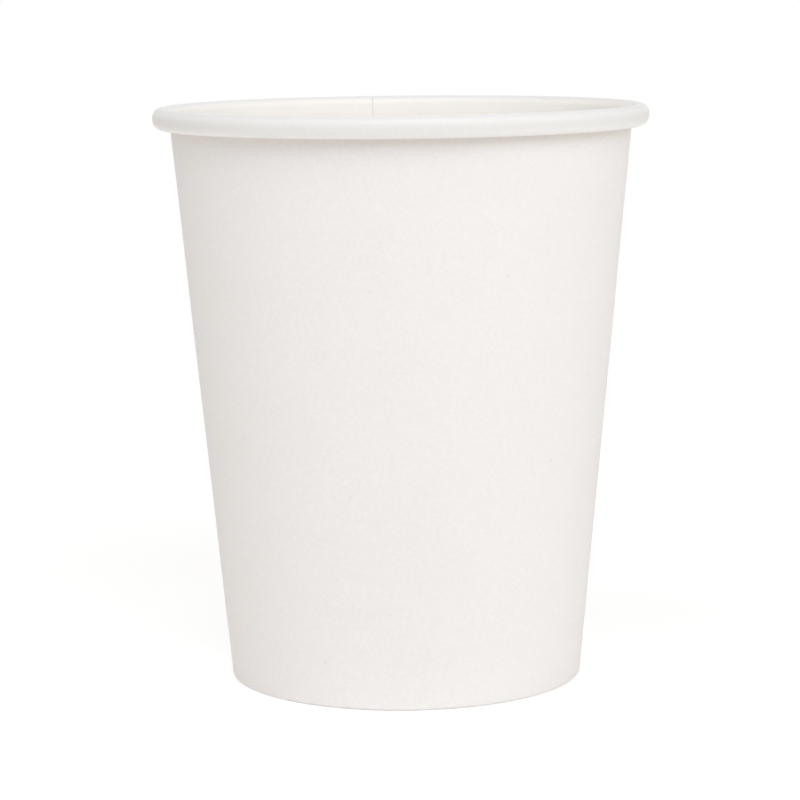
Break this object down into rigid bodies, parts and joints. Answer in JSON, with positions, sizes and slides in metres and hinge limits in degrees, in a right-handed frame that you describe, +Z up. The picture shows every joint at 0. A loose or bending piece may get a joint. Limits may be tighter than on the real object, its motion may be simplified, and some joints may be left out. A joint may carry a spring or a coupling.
{
  "type": "paper cup",
  "caption": "Single-wall paper coffee cup: tapered wall with a lapped side seam, rolled rim and turned-up hem, round a recessed base disc.",
  "frame": {"origin": "on the table, on the cup's axis", "axes": "+Z up along the cup's axis, -Y towards the front, so the side seam is at the back on +Y"},
  "size_m": [0.08, 0.08, 0.0931],
  "materials": {
    "sidewall_board": "matt white cup board, fine grain outside, thin clear coat inside, raw edges warm",
    "base_board": "white cup board, thin clear coat on the upper face, uncoated below"
  },
  "bodies": {
    "root": {"sidewall": "sidewall_board", "base_disc": "base_board"}
  },
  "joints": []
}
